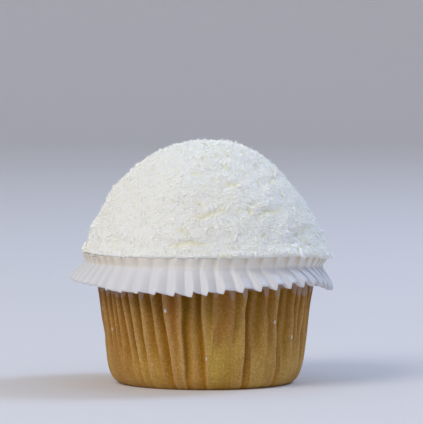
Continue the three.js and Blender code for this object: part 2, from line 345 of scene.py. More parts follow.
# How far a fold wanders sideways, in radians, and in and out.
SWAY_TURN, SWAY_DEPTH = 0.011, 0.18 * MM
# Middle and half width of a hood beside its ridge in radians, the limits of the hoods' lengths as shares, and
# how far a ridge stands out where its hood starts to show and where it is whole.
HOOD_MIDDLE, HOOD_HALF_WIDTH = 0.02, 0.03
HOOD_LENGTHS, HOOD_STANDS = (0.6, 1.1), (0.3, 0.8)


class Pleats:
    """The pleats at each place round the sheet, where places count pleats from the first ridge seen."""

    def __init__(self, paper, place):
        draw = np.random.default_rng(paper.seed)
        self.count = paper.pleats
        self.index = np.floor(place).astype(int) % self.count
        self.after = (self.index + 1) % self.count
        self.phase = place - np.floor(place)
        self.set_ridges(place, draw)
        self.set_frill(draw)
        self.stray = draw.uniform(-1, 1, self.count)[self.index]
        self.hood_length = draw.uniform(*HOOD_LENGTHS, self.count)

    def set_ridges(self, place, draw):
        """The ridges all round at the waist and on the wall, as seen in front and drawn at the back."""
        unseen = self.count - len(FRONT_PLEATS)
        waist, top, bottom, steep, *shares = np.array(FRONT_PLEATS, float).T

        def all_round(seen):
            even = np.linspace(seen[-1], seen[0] + 360, unseen + 2)[1:-1]
            back = even + draw.uniform(-BACK_STRAY, BACK_STRAY, unseen)
            return np.radians(np.concatenate([seen, back, [seen[0] + 360]]))

        ridges = [all_round(seen) for seen in (waist, top, bottom)]
        self.angle, self.wall_top, self.wall_bottom = (
            FRONT + np.interp(place % self.count, np.arange(self.count + 1), turns) for turns in ridges
        )
        self.wall_width = np.diff(ridges[1])[self.index]
        self.right = 0.5 + 0.5 * np.cos(self.angle)
        self.steep = np.concatenate([steep, np.where(np.arange(unseen) < unseen / 2, 1, -1)])
        self.stand, self.depth, self.fade, self.red, self.yellow = (
            np.concatenate([seen, draw.uniform(*limits, unseen)]) for seen, limits in zip(shares, BACK_SHARES)
        )
        self.wander = draw.uniform(0, 2 * math.pi, self.count)

    def set_frill(self, draw):
        """The folds of the frill, which fall from each tip to a crease and climb steeply to the next tip."""
        phase = self.phase
        lean = round_table(LEANS, self.angle)
        crease = mix(UPRIGHT_CREASE, LEANING_CREASE, lean)
        fall = 1 - np.clip(phase / crease, 0, 1) ** mix(*CREASE_POWERS, lean)
        climb = np.clip((phase - crease) / (NEXT_TIP - crease), 0, 1)
        crest = draw.uniform(*TIP_SHARES, self.count)
        trough = draw.uniform(*CREASE_SHARES, self.count)[self.index]
        ridge = mix(crest[self.index], crest[self.after], phase)
        self.frill_wave = mix(trough, ridge, np.where(phase < crease, fall, climb))
        past_crease = np.clip((phase - crease) / (1 - crease), 0, 1)
        upright_power, leaning_power = HEM_POWERS
        hem = mix((1 - phase) ** upright_power, (1 - past_crease) ** leaning_power, lean)
        # Painted shade for the frill's creases, on upright pleats.
        self.frill_crease_shade = np.where(phase < crease, smooth_step(*CREASE_SHADE_SPAN, phase), 0.0) * (1 - lean)
        self.notch = smooth_step(*NOTCH_OPENING, phase) * hem * round_table(NOTCHES, self.angle)
        crowded = np.interp(phase, (0, LEANING_CREASE, 1), (0, WAIST_CREASE, 1))
        self.waist_shift = lean * (crowded - phase) * 2 * math.pi / self.count

    def sway(self, share):
        """How far each fold of the wall wanders off its line at a share of its height, from -1 to 1."""
        left, right = (
            sum(gain * np.sin(turn * share + start * self.wander[ridge]) for gain, turn, start in SWAY_WAVES)
            for ridge in (self.index, self.after)
        )
        return mix(left, right, self.phase)

    def wall_angle(self, share):
        return mix(self.wall_bottom, self.wall_top, share) + SWAY_TURN * self.sway(share)

    def persists(self, index, share):
        """How much of each valley is left at a share of the wall's height."""
        fade = self.fade[index % len(self.fade)]
        return smooth_step(fade - FADE_BELOW, fade + FADE_ABOVE, share)

    def hollow(self, share):
        """Depth of the wall's pleats as a share of the deepest, down both sides of each ridge."""
        left, right = self.index, self.after
        from_left = self.phase / np.where(self.steep[left] > 0, STEEP_SIDE, EASY_SIDE)
        from_right = (1 - self.phase) / np.where(self.steep[right] < 0, STEEP_SIDE, EASY_SIDE)
        from_left = 1 - self.stand[left] * (1 - smooth_step(0, 1, from_left))
        from_right = 1 - self.stand[right] * (1 - smooth_step(0, 1, from_right))
        return self.depth[left] * self.persists(left, share) * np.minimum(from_left, from_right)

    def ridge_light(self, share):
        """1 along the ridges that stand off the cake, fading down their easy sides. It marks the paler paper
        there and a painted highlight.
        """
        left, right = self.index, self.after
        from_left = np.where(self.steep[left] <= 0, smooth_step(RIDGE_LIGHT, 0.0, self.phase), 0)
        from_right = np.where(self.steep[right] >= 0, smooth_step(RIDGE_LIGHT, 0.0, 1 - self.phase), 0)
        left_depth = self.stand[left] * self.depth[left - 1] * self.persists(left - 1, share)
        right_depth = self.stand[right] * self.depth[right] * self.persists(right, share)
        return np.maximum(from_left * left_depth, from_right * right_depth)

    def hoods(self):
        """Length of the hood of dry paper under the frill, on the easy side of each ridge."""
        left, right = self.index, self.after

        def hood(away, ridge):
            across = (away * self.wall_width - HOOD_MIDDLE) / HOOD_HALF_WIDTH
            arch = np.sqrt(np.clip(1 - across**2, 0, None))
            return self.hood_length[ridge] * smooth_step(*HOOD_STANDS, self.stand[ridge]) * arch

        from_left = np.where(self.steep[left] <= 0, hood(self.phase, left), 0)
        from_right = np.where(self.steep[right] >= 0, hood(1 - self.phase, right), 0)
        return np.maximum(from_left, from_right)


# The stations of the sheet from the middle of the base to its cut edge, and the rows of the mesh up to each.
STATION_ROWS = {
    "base": 1, "heel_low": 2, "heel_high": 2, "heel": 2,
    "wall_1": 3, "wall_2": 3, "wall_3": 3, "wall_4": 3, "shoulder": 7,
    "neck": 6, "under": 3, "hem_in": 4, "hem_out": 4, "face_low": 4, "face_high": 4,
    "waist": 4, "band": 3, "rim": 3,
}
STATIONS = tuple(STATION_ROWS)
# Where the columns of the sheet lie within a pleat, closer together beside the folds.
COLUMNS = (0.0, 0.04, 0.09, 0.16, 0.25, 0.35, 0.46, 0.56, 0.62, 0.68, 0.75, 0.84, 0.91, 0.96)
# How far the heel's rounding keeps off a sharp corner, and how much of the wall's slant runs on under it.
HEEL_CORNER, HEEL_SLANT = 0.9 * MM, 0.5
# How much of the wall's turn and of the frill's slant there is at the neck, and how far the sheet has come
# from the neck to the frill's edge at the station between them.
NECK_TURN, NECK_SLANT, UNDER_SHARE = 0.7, 0.1, 0.5
# The turned edge of the frill: how far in and how high its inside is and how high its outside is, as shares
# of the roll's size, and how much of the slant there is at its inside.
HEM_INSET, HEM_LOW, HEM_HIGH, HEM_SLANT = 1.2, 0.1, 0.5, 0.95
# Shares of the way out and up from the waist to the rim in the middle of the band.
BAND_OUT, BAND_UP = 0.4, 0.5
# How far the paper's cut edge is tucked up into the icing.
RIM_TUCK = 0.15 * MM
# Shares of the way from the frill's edge in and up to the waist, and of the slant and the crowding there.
FACE_SHARES = {"face_low": (0.22, 0.32, 0.76, 0.5), "face_high": (0.62, 0.68, 0.36, 0.9)}
# The station from which the paper takes the clean material. Before it, most of the frill's underside takes
# the stained material, whose darker colours there are painted shade.
CLEAN_FROM = STATIONS.index("hem_in") - 0.3

# Degrees to the right of the front over which the painted shade on the left side fades out, and over which
# the dark specks at the far left come in and end.
LEFT_SHADE_FADES, SPECKS_START, SPECKS_END = (-65, -5), (-54, -66), (-125, -95)
# Stations above the waist over which the band's painted bounce light, its brown hollows and its dark specks
# come in.
BAND_BOUNCE_LIGHT, BAND_BROWN, BAND_SPECKS = (-0.1, 0.35), (0.3, 1.6), (0.6, 1.2)
# How brown the band's hollows are at the left and at the right, how much painted shade the whole band gets at
# the left, and the power that keeps the brown in the hollows.
HOLLOW_BROWN, LEFT_BAND_SHADE, BROWN_POWER = (0.4, 1.6), 0.55, 1.5
# How golden the low part of the wall stays at the left as a share, the rest being painted shade, and the
# heights over which the yellow ends.
LEFT_GOLD_IN_SHADE, YELLOW_ENDS = 0.75, (0.55, 0.1)
# How far above the shoulder the stain ends, and how far the longest hood reaches down.
STAIN_RISE, HOOD_REACH = 1.8 * MM, 2.8 * MM


def column_places(flat, columns):
    """Each vertex's place round the sheet, counted in pleats."""
    column = np.rint(np.arctan2(flat[:, 1], flat[:, 0]) / (2 * math.pi) * columns).astype(int) % columns
    return column // len(COLUMNS) + np.array(COLUMNS)[column % len(COLUMNS)]


def paper_stations(paper, pleats):
    """Radius, height and sideways turn of the sheet at each station, for every place round it."""
    angle = pleats.angle
    zero = np.zeros_like(angle)
    half = paper.thickness / 2
    left = -np.cos(angle)

    def wall(share):
        radius = mix(paper.heel_radius, paper.shoulder_radius, share) - half
        radius = radius - paper.pleat_depth * pleats.hollow(share) + SWAY_DEPTH * pleats.sway(share)
        height = mix(paper.heel_height, paper.shoulder_height, share)
        return radius, zero + height, pleats.wall_angle(share) - angle

    def heel(share):
        top_radius, top_height, turn = wall(0.0)
        start, middle, end = (1 - share) ** 2, 2 * share * (1 - share), share**2
        radius = start * paper.base_radius + middle * (paper.heel_radius - HEEL_CORNER) + end * top_radius
        turn = turn + HEEL_SLANT * (1 - share) * (pleats.wall_bottom - pleats.wall_top)
        return radius, start * half + middle * HEEL_CORNER + end * top_height, turn

    depth = paper.frill_depth * round_table(FRILL_DEPTHS, angle)
    frill = paper.frill_radius + paper.frill_spread * left - depth * (1 - pleats.frill_wave)
    sag = paper.frill_sag * (1 + SAG_VARIES * pleats.stray) * pleats.notch
    edge = round_table(EDGE_HEIGHTS, angle) + sag
    slant = round_table(FRILL_SLANTS, angle) / paper.frill_radius
    shift = pleats.waist_shift
    waist = paper.waist_radius + paper.waist_spread * left - paper.waist_depth * (1 - pleats.frill_wave)
    waist_height = round_table(WAIST_HEIGHTS, angle)
    rim = paper.rim_radius - paper.waist_depth * (1 - pleats.frill_wave)
    rim_height = round_table(LIP_EDGES, angle) + RIM_TUCK
    neck, _, wall_turn = wall(1.0)
    neck = neck + paper.neck_radius - paper.shoulder_radius
    roll = paper.frill_roll
    under_height = mix(paper.neck_height, edge + roll, UNDER_SHARE)
    places = {
        "base": heel(0),
        "heel_low": heel(1 / 3),
        "heel_high": heel(2 / 3),
        "heel": wall(0.0),
        "wall_1": wall(0.2),
        "wall_2": wall(0.4),
        "wall_3": wall(0.6),
        "wall_4": wall(0.8),
        "shoulder": wall(1.0),
        "neck": (neck, zero + paper.neck_height, NECK_TURN * wall_turn + NECK_SLANT * slant),
        "under": (mix(neck, frill, UNDER_SHARE), under_height, UNDER_SHARE * slant),
        "hem_in": (frill - HEM_INSET * roll, edge + HEM_LOW * roll, HEM_SLANT * slant),
        "hem_out": (frill, edge + HEM_HIGH * roll, slant),
        "waist": (waist, waist_height, shift),
        "band": (mix(waist, rim, BAND_OUT), mix(waist_height, rim_height, BAND_UP), shift),
        "rim": (rim, rim_height, shift),
    }
    for name, (inward, upward, slanting, crowding) in FACE_SHARES.items():
        turn = slanting * slant + crowding * shift
        places[name] = (mix(frill, waist, inward), mix(edge, waist_height, upward), turn)
    return np.stack([np.stack(places[name], axis=-1) for name in STATIONS], axis=1)


def folded_paper(paper, place, along):
    """Where each point of the flat sheet comes to lie, and what the paper's material needs to know there."""
    pleats = Pleats(paper, place)
    stations = paper_stations(paper, pleats)
    radius, height, turn = spline_along(stations, np.maximum(along, 0)).T
    flat_share = np.clip(1 + along, 0, 1)
    radius = radius * flat_share
    angle = pleats.angle + turn
    folded = np.stack([radius * np.cos(angle), radius * np.sin(angle), height], axis=-1)

    share = np.clip((height - paper.heel_height) / (paper.shoulder_height - paper.heel_height), 0, 1)
    past_waist = along - STATIONS.index("waist")
    degrees = degrees_right(pleats.angle)
    # pale is 0 at the left, where painted shade is laid on the band, in the frill's creases and on the low
    # wall.
    pale = smooth_step(*LEFT_SHADE_FADES, degrees)
    far_left = smooth_step(*SPECKS_START, degrees) * smooth_step(*SPECKS_END, degrees)
    band_valley = (1 - pleats.frill_wave) ** BROWN_POWER * smooth_step(*BAND_BROWN, past_waist)
    return folded, {
        "stain": paper.shoulder_height + STAIN_RISE - HOOD_REACH * pleats.hoods(),
        "band": smooth_step(*BAND_BOUNCE_LIGHT, past_waist),
        "band_stain_and_left_shade": band_valley * mix(*HOLLOW_BROWN, pleats.right**2) + LEFT_BAND_SHADE * (1 - pale),
        # Dark specks at the top of the band at the far left.
        "crumbs": far_left * smooth_step(*BAND_SPECKS, past_waist),
        "frill_crease_shade": pleats.frill_crease_shade * (1 - pale),
        "hollow": pleats.hollow(share),
        "ridge": pleats.ridge_light(share),
        "low": (1 - share) * mix(LEFT_GOLD_IN_SHADE, 1.0, pale),
        "red": pleats.red[pleats.index],
        "yellow": pleats.yellow[pleats.index] * smooth_step(*YELLOW_ENDS, share),
    }


# Materials

# The values between which nearly all of a cloud pattern lies, which are spread to 0 and 1, and its roughness.
CLOUD_LOW, CLOUD_HIGH, CLOUD_ROUGHNESS = 0.3, 0.7, 0.6
# How sharply a speck ends at its edge.
SPECK_EDGE = 20.0
# How far below and above the end of the stain the paper turns dry.
DRY_BELOW, DRY_ABOVE = 0.5 * MM, 0.3 * MM


def feed(tree, socket, value):
    """Links another node's output to a socket, or sets the socket to a fixed value."""
    if isinstance(value, bpy.types.NodeSocket):
        tree.links.new(value, socket)
    else:
        socket.default_value = value


def add_node(tree, kind, inputs=None, **settings):
    """A node with its settings, its input values and the links into it."""
    node = tree.nodes.new(kind)
    for name, value in settings.items():
        setattr(node, name, value)
    for key, value in (inputs or {}).items():
        feed(tree, node.inputs[key], value)
    return node


def clamped(tree, operation, first, second):
    """The result of an operation on two values, held between 0 and 1."""
    node = add_node(tree, "ShaderNodeMath", {0: first, 1: second}, operation=operation, use_clamp=True)
    return node.outputs["Value"]


def plus(tree, first, second):
    return clamped(tree, "ADD", first, second)


def minus(tree, first, second):
    return clamped(tree, "SUBTRACT", first, second)


def times(tree, first, second):
    return clamped(tree, "MULTIPLY", first, second)


def raised(tree, pattern, least):
    """A pattern raised, so that it runs from a least value to 1."""
    return plus(tree, least, times(tree, pattern, 1 - least))


def sharpened(tree, pattern, above, strength):
    """The part of a pattern above a value, made stronger."""
    return times(tree, minus(tree, pattern, above), strength)


def attribute(tree, name):
    return add_node(tree, "ShaderNodeAttribute", attribute_name=name).outputs["Fac"]


def blend_colors(tree, low, high, share, strength=1.0):
    """A colour between two colours, fixed or from other nodes, by a share that the strength scales."""
    if strength != 1.0:
        share = times(tree, share, strength)
    node = add_node(tree, "ShaderNodeMix", data_type="RGBA")
    sockets = {(socket.name, socket.type): socket for socket in node.inputs}
    feed(tree, sockets["Factor", "VALUE"], share)
    for name, color in (("A", low), ("B", high)):
        fixed = not isinstance(color, bpy.types.NodeSocket)
        feed(tree, sockets[name, "RGBA"], (*color, 1.0) if fixed else color)
    return next(socket for socket in node.outputs if socket.type == "RGBA")


def darkened(tree, color, share):
    """A colour scaled by a share."""
    node = add_node(tree, "ShaderNodeVectorMath", {0: color, "Scale": share}, operation="SCALE")
    return node.outputs["Vector"]


def squashed_place(tree, squash):
    """Object coordinates with their height scaled, so that patterns are drawn out upright."""
    place = tree.nodes.new("ShaderNodeTexCoord").outputs["Object"]
    factors = add_node(tree, "ShaderNodeCombineXYZ", {"X": 1.0, "Y": 1.0, "Z": squash}).outputs["Vector"]
    squashed = add_node(tree, "ShaderNodeVectorMath", {0: place, 1: factors}, operation="MULTIPLY")
    return squashed.outputs["Vector"]


def new_group(name, inputs, outputs):
    """An empty group of nodes with the named values going in and out."""
    tree = bpy.data.node_groups.new(name, "ShaderNodeTree")
    for label in inputs:
        tree.interface.new_socket(label, in_out="INPUT", socket_type="NodeSocketFloat")
    for label in outputs:
        tree.interface.new_socket(label, in_out="OUTPUT", socket_type="NodeSocketFloat")
    return tree


def mottle_group():
    """Soft blotches and fine grain over a surface, each from 0 to 1, drawn out upright where wanted."""
    name = "Mottle"
    if name in bpy.data.node_groups:
        return bpy.data.node_groups[name]
    tree = new_group(name, ("Blotch Scale", "Grain Scale", "Squash"), ("Blotches", "Grain"))
    wanted = tree.nodes.new("NodeGroupInput").outputs
    result = tree.nodes.new("NodeGroupOutput")
    place = tree.nodes.new("ShaderNodeTexCoord").outputs["Object"]
    squashed = squashed_place(tree, wanted["Squash"])
    for label, scale, vector, detail in (
        ("Blotches", "Blotch Scale", squashed, 3.0), ("Grain", "Grain Scale", place, 2.0),
    ):
        inputs = {"Vector": vector, "Scale": wanted[scale], "Detail": detail, "Roughness": CLOUD_ROUGHNESS}
        cloud = add_node(tree, "ShaderNodeTexNoise", inputs).outputs["Fac"]
        limits = {"Value": cloud, "From Min": CLOUD_LOW, "From Max": CLOUD_HIGH}
        spread = add_node(tree, "ShaderNodeMapRange", limits)
        tree.links.new(spread.outputs["Result"], result.inputs[label])
    return tree


def mottle(tree, blotch_scale, grain_scale, squash=1.0):
    """Blotches and grain at the given scales, in cells a metre."""
    inputs = {"Blotch Scale": blotch_scale, "Grain Scale": grain_scale, "Squash": squash}
    node = add_node(tree, "ShaderNodeGroup", inputs, node_tree=mottle_group())
    return node.outputs["Blotches"], node.outputs["Grain"]


def speck_group():
    """A mask of tiny round specks, one in each of a share of the cells of a cell pattern."""
    name = "Specks"
    if name in bpy.data.node_groups:
        return bpy.data.node_groups[name]
    tree = new_group(name, ("Scale", "Share", "Size", "Squash"), ("Mask",))
    wanted = tree.nodes.new("NodeGroupInput").outputs
    place = squashed_place(tree, wanted["Squash"])
    cells = add_node(tree, "ShaderNodeTexVoronoi", {"Vector": place, "Scale": wanted["Scale"]})
    chance = add_node(tree, "ShaderNodeSeparateColor", {"Color": cells.outputs["Color"]}).outputs["Red"]
    chosen = clamped(tree, "LESS_THAN", chance, wanted["Share"])
    inside = times(tree, minus(tree, wanted["Size"], cells.outputs["Distance"]), SPECK_EDGE)
    mask = times(tree, chosen, inside)
    tree.links.new(mask, tree.nodes.new("NodeGroupOutput").inputs["Mask"])
    return tree


def specks(tree, scale, share, size, squash=1.0):
    """Specks of a size as a share of a cell, in a share of the cells, at a scale in cells a metre."""
    inputs = {"Scale": scale, "Share": share, "Size": size, "Squash": squash}
    return add_node(tree, "ShaderNodeGroup", inputs, node_tree=speck_group()).outputs["Mask"]


def new_material(name, roughness, specular):
    """A material ready to be painted, as itself, its node tree and its shader."""
    material = bpy.data.materials.new(name)
    material.use_nodes = True
    tree = material.node_tree
    shader = tree.nodes["Principled BSDF"]
    shader.inputs["Roughness"].default_value = roughness
    shader.inputs["Specular IOR Level"].default_value = specular
    return material, tree, shader


def bump(tree, shader, height, strength, distance):
    """Fine relief on a surface that is already shaped."""
    node = add_node(tree, "ShaderNodeBump", {"Height": height, "Strength": strength, "Distance": distance})
    tree.links.new(node.outputs["Normal"], shader.inputs["Normal"])


def let_light_in(shader, weight, radius, scale):
    """Lets light spread under the surface, by different amounts for red, green and blue."""
    shader.inputs["Subsurface Weight"].default_value = weight
    shader.inputs["Subsurface Radius"].default_value = radius
    shader.inputs["Subsurface Scale"].default_value = scale


def dry_hoods_and_underside_shade(tree):
    """A mask of the dry paper above the end of the stain: the top of the wall, and the frill's underside,
    where it is painted shade.
    """
    place = tree.nodes.new("ShaderNodeTexCoord").outputs["Object"]
    height = add_node(tree, "ShaderNodeSeparateXYZ", {"Vector": place}).outputs["Z"]
    above = add_node(tree, "ShaderNodeMath", {0: height, 1: attribute(tree, "stain")}, operation="SUBTRACT")
    limits = {"Value": above.outputs["Value"], "From Min": -DRY_BELOW, "From Max": DRY_ABOVE}
    return add_node(tree, "ShaderNodeMapRange", limits, interpolation_type="SMOOTHSTEP").outputs["Result"]


def stained_material(paper):
    """Baking paper that fat has made clear, so that the cake shows through, with dry hoods at its top. Its
    valleys add painted shade and its ridges a painted highlight to the paper's own colour, and on the frill's
    underside it is painted shade.
    """
    material, tree, shader = new_material("stained_paper_and_painted_shade", roughness=0.6, specular=0.06)
    upright = 0.35
    high_valleys, lost_low_down, flecked_ridges = 1.3, 0.4, 1.2
    patches, grain = mottle(tree, blotch_scale=130.0, grain_scale=1700.0, squash=upright)
    patches = sharpened(tree, patches, above=2 / 9, strength=1.8)
    blotches, fine_grain = mottle(tree, blotch_scale=340.0, grain_scale=3000.0, squash=upright)
    names = ("hollow", "low", "ridge", "red", "yellow")
    hollow, low, ridge, red, yellow = (attribute(tree, name) for name in names)

    color = blend_colors(tree, paper.crust_color, paper.golden_color, low)
    color = blend_colors(tree, color, paper.yellow_color, patches, strength=0.6)
    color = blend_colors(tree, color, paper.rose_color, times(tree, raised(tree, blotches, least=0.4), red))
    color = blend_colors(tree, color, paper.yellow_color, yellow, strength=0.85)
    deep = blend_colors(tree, paper.olive_color, paper.brown_color, red)
    deep = blend_colors(tree, deep, paper.amber_color, low)
    color = blend_colors(tree, color, deep, minus(tree, 1.0, patches), strength=0.45)
    # Painted shade: valleys are darkened by their depth, most high up under the frill, over the paper's own
    # colour.
    shown = minus(tree, high_valleys, times(tree, low, lost_low_down))
    color = blend_colors(tree, color, deep, times(tree, hollow, shown))
    # Ridges: paler paper off the cake, partly a painted highlight.
    color = blend_colors(tree, color, paper.tan_and_highlight_color, ridge, strength=0.8)
    color = darkened(tree, color, raised(tree, grain, least=0.68))
    color = darkened(tree, color, raised(tree, fine_grain, least=0.76))

    color = blend_colors(tree, color, deep, specks(tree, scale=520.0, share=0.08, size=0.17))
    flecks = specks(tree, scale=330.0, share=0.6, size=0.13, squash=0.55)
    flecks = times(tree, flecks, times(tree, ridge, flecked_ridges))
    color = blend_colors(tree, color, paper.clean_color, flecks)
    hoods = times(tree, dry_hoods_and_underside_shade(tree), raised(tree, blotches, least=0.5))
    color = blend_colors(tree, color, paper.hood_and_underside_shade_color, hoods)
    tree.links.new(color, shader.inputs["Base Color"])
    bump(tree, shader, grain, strength=0.25, distance=0.05 * MM)
    return material


def clean_material(paper):
    """White baking paper with a little sheen, brighter and warmer above the waist as painted bounce light,
    browned in the hollows there, with painted shade at the left and dark specks at the far left.
    """
    material, tree, shader = new_material("clean_paper_and_painted_light", roughness=0.5, specular=0.4)
    brown_share = 0.5
    blotches, grain = mottle(tree, blotch_scale=260.0, grain_scale=1900.0)
    band = attribute(tree, "band")
    # Painted light: the band turns brighter and warmer than the clean paper, standing for bounced light.
    color = blend_colors(tree, paper.clean_color, paper.band_bounce_light_color, band)
    color = blend_colors(tree, color, paper.tan_and_highlight_color, blotches, strength=0.05)
    # Painted shade in the frill's creases at the left.
    color = blend_colors(tree, color, paper.frill_crease_shade_color, attribute(tree, "frill_crease_shade"), strength=0.5)
    # The band's brown hollows, and painted shade over the whole band at the left.
    stain_and_shade = times(tree, attribute(tree, "band_stain_and_left_shade"), times(tree, band, brown_share))
    color = blend_colors(tree, color, paper.band_stain_and_shade_color, stain_and_shade)
    dots = specks(tree, scale=1100.0, share=0.8, size=0.32)
    # Dark specks at the top of the band at the far left.
    color = blend_colors(tree, color, paper.dark_speck_color, times(tree, dots, attribute(tree, "crumbs")))
    tree.links.new(color, shader.inputs["Base Color"])
    bump(tree, shader, grain, strength=0.2, distance=0.04 * MM)
    return material


def sponge_material(sponge):
    """Golden baked crumb."""
    material, tree, shader = new_material("baked_sponge", roughness=0.85, specular=0.3)
    blotches, grain = mottle(tree, blotch_scale=180.0, grain_scale=900.0)
    color = blend_colors(tree, sponge.dark_color, sponge.light_color, blotches)
    color = blend_colors(tree, color, sponge.pore_color, grain, strength=0.4)
    tree.links.new(color, shader.inputs["Base Color"])
    bump(tree, shader, grain, strength=0.6, distance=0.4 * MM)
    return material


def icing_material(icing):
    """Soft icing between the coconut, yellower in the creases as painted shade."""
    material, tree, shader = new_material("soft_icing", roughness=0.7, specular=0.2)
    blotches, grain = mottle(tree, blotch_scale=300.0, grain_scale=1500.0)
    color = blend_colors(tree, icing.white_color, icing.cream_and_crease_shade_color, attribute(tree, "hollow"))
    color = blend_colors(tree, color, icing.cream_and_crease_shade_color, blotches, strength=0.2)
    tree.links.new(color, shader.inputs["Base Color"])
    let_light_in(shader, weight=0.5, radius=(1.0, 0.95, 0.8), scale=1.0 * MM)
    bump(tree, shader, grain, strength=0.3, distance=0.15 * MM)
    return material


def coconut_material(coconut):
    """Dry coconut, each piece with its own random tone, yellower in creases and pits as painted shade, with
    small oily spots over the coat.
    """
    material, tree, shader = new_material("desiccated_coconut", roughness=0.8, specular=0.1)
    blotches, grain = mottle(tree, blotch_scale=150.0, grain_scale=1800.0)
    spots, _ = mottle(tree, blotch_scale=420.0, grain_scale=1800.0)
    spots = sharpened(tree, spots, above=0.55, strength=1.1)
    color = blend_colors(tree, coconut.white_color, coconut.cream_and_crease_shade_color, attribute(tree, "tone_and_shade"))
    color = blend_colors(tree, color, coconut.cream_and_crease_shade_color, blotches, strength=0.12)
    color = blend_colors(tree, color, coconut.cream_and_crease_shade_color, spots)
    tree.links.new(color, shader.inputs["Base Color"])
    shader.subsurface_method = "BURLEY"
    let_light_in(shader, weight=0.5, radius=(1.0, 1.0, 1.0), scale=0.3 * MM)
    bump(tree, shader, grain, strength=0.15, distance=0.05 * MM)
    return material


# Icing dome

# The dome's outline as seen, in millimetres: height, and radius at the left and at the right.
DOME_OUTLINE = (
    (68.7, 0.0, 0.0), (68.35, 4.4, 5.6), (67.1, 9.8, 10.1), (65.1, 14.4, 14.4), (62.8, 17.9, 17.4),
    (60.6, 20.5, 19.9), (58.3, 23.0, 22.2), (56.1, 25.2, 24.3), (53.9, 27.0, 26.1), (51.6, 28.1, 27.7),
    (49.3, 29.2, 29.2), (47.2, 30.5, 30.6), (45.0, 31.8, 31.8), (42.7, 32.6, 32.9), (40.6, 33.0, 34.0),
    (39.2, 33.7, 35.1), (38.1, 34.4, 35.9), (37.4, 34.8, 36.0), (37.0, 34.4, 35.3), (36.9, 33.5, 34.2),
)
LIP_MEAN = DOME_OUTLINE[-1][0] * MM
OUTLINE_STEPS = 400
# The hidden plug under the dome: how far below the lip, and how far in from the plug's radius.
PLUG_OUTLINE = ((0.0, 0.0), (3 * MM, 0.5 * MM), (5.5 * MM, 1.2 * MM), (7 * MM, 3.4 * MM))
PLUG_FOOT = 3.7 * MM
# Heights above the lip over which the dome's edge starts to follow the lip up and down, how far either side
# of the plug's radius that ends, and heights above the lip over which the lumps come in.
LIP_FOLLOWS, LIP_ENDS, LUMPS_START = (7 * MM, 1 * MM), 1.5 * MM, (0.3 * MM, 1.5 * MM)
# Places and roughness from the left of the dome, 0, to the right, 1, between which the coat gets rougher.
ROUGH_PLACES, ROUGHNESS = (0.05, 0.7), (0.5, 1.3)
# Turn to the right from the front in degrees, height, length and slope of each crease in the coat.
CREASES = (
    (3, 49.3 * MM, 10 * MM, 0.17),
    (37, 49.4 * MM, 12 * MM, 0.2),
    (-8, 41.3 * MM, 12 * MM, 0.06),
    (20, 57.5 * MM, 6 * MM, 0.15),
    (60, 44.5 * MM, 8 * MM, 0.15),
    (118, 45 * MM, 10 * MM, 0.1),
    (205, 50 * MM, 9 * MM, -0.1),
    (270, 43 * MM, 10 * MM, 0.12),
)
# How far a crease wavers and over what length, its width, and the swelling above it: how far up, how wide and
# how high as a share of the crease's depth.
CREASE_WAVER, CREASE_WAVE, CREASE_WIDTH = 0.4 * MM, 1.3 * MM, 0.6 * MM
SWELLING_RISE, SWELLING_WIDTH, SWELLING_SHARE = 1.6 * MM, 1.1 * MM, 0.7
# Size and share of each kind of lump.
LUMPS = ((15 * MM, 0.8), (6 * MM, 0.7), (2.6 * MM, 0.6))
# Size of the pits and of the areas with pits, the noise over which each comes in, and how creamy pits turn,
# which is painted shade.
PIT_SIZE, PIT_EDGE = 1.9 * MM, (0.25, 0.55)
PITTED_SIZE, PITTED_EDGE = 8 * MM, (-0.2, 0.3)
PIT_CREAM_AND_SHADE = 0.6


def dome_section(icing, spacing):
    """Evenly spaced places down the outline as height, left and right radius, with the way out at each."""
    knots = np.array(DOME_OUTLINE) * MM
    along = np.linspace(0, len(knots) - 1, OUTLINE_STEPS)
    curve = spline_along(np.repeat(knots[None], len(along), axis=0), along)
    plug = [(LIP_MEAN - drop, icing.plug_radius - inset) for drop, inset in PLUG_OUTLINE]
    plug += [(ICING_LOW.z, icing.plug_radius - PLUG_FOOT), (ICING_LOW.z, 0.0)]
    outline = np.concatenate([curve, [(height, radius, radius) for height, radius in plug]])
    runs = np.linalg.norm(np.diff(outline[:, :2], axis=0), axis=1)
    length = np.concatenate([[0], np.cumsum(runs)])
    stops = np.linspace(0, length[-1], int(length[-1] / spacing))
    places = np.stack([np.interp(stops, length, outline[:, axis]) for axis in range(3)], axis=-1)
    down, out = np.gradient(places[:, 0]), np.gradient(places[:, 1])
    size = np.hypot(down, out)
    return places, np.stack([-down / size, out / size], axis=-1)


def crease_relief(icing, angle, height, radius):
    """How far the creases sink the coat, with a soft swelling above each."""
    relief = np.zeros_like(angle)
    for turn, level, length, slope in CREASES:
        middle = FRONT + math.radians(turn)
        across = radius * ((angle - middle + math.pi) % (2 * math.pi) - math.pi)
        rise = height - level - slope * across + CREASE_WAVER * np.sin(across / CREASE_WAVE + turn)
        taper = np.clip(1 - (2 * across / length) ** 2, 0, None)
        sunk = np.exp(-((rise / CREASE_WIDTH) ** 2))
        swollen = np.exp(-(((rise - SWELLING_RISE) / SWELLING_WIDTH) ** 2))
        relief += icing.crease_depth * taper * (SWELLING_SHARE * swollen - sunk)
    return relief


def lump_relief(icing, places):
    """Soft lumps of three sizes."""
    return icing.lump * np.array([
        sum(gain * noise.noise(Vector(place) / size) for size, gain in LUMPS) for place in places.tolist()
    ])


def pit_pattern(places):
    """Small pits between clumps of the coat, here and there."""
    def noise_at(size):
        return np.array([noise.noise(Vector(place) / size) for place in places.tolist()])

    return smooth_step(*PIT_EDGE, noise_at(PIT_SIZE)) * smooth_step(*PITTED_EDGE, noise_at(PITTED_SIZE))


